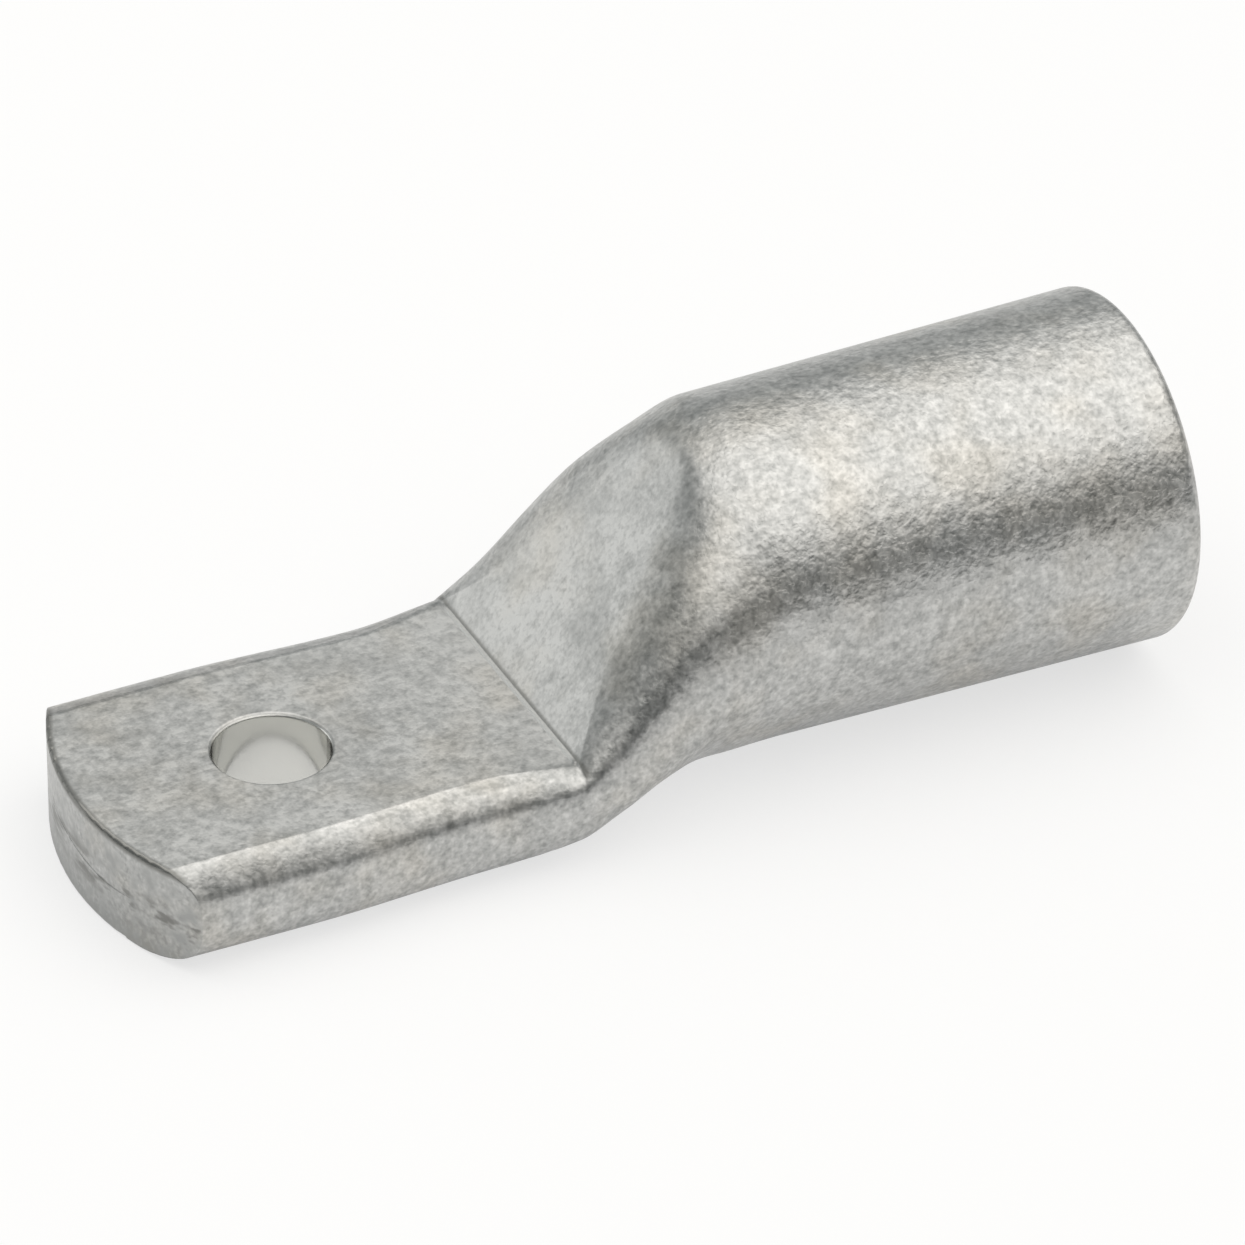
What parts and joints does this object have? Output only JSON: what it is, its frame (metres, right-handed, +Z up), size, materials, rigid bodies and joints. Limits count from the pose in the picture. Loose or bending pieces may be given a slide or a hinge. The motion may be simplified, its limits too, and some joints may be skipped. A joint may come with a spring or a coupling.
{
  "type": "tubular cable lug",
  "caption": "Tin-plated tubular cable lug: round crimp barrel pressed at one end into a thick narrow palm with a round bolt hole.",
  "frame": {"origin": "centre of the bolt hole on the underside of the palm", "axes": "+X along the lug from the palm to the mouth of the barrel, +Y across the palm, +Z up through the bolt hole"},
  "size_m": [0.1013, 0.0326, 0.0322],
  "materials": {
    "tinned_copper": "satin tin plating"
  },
  "bodies": {
    "root": {"lug_body": "tinned_copper"}
  },
  "joints": []
}
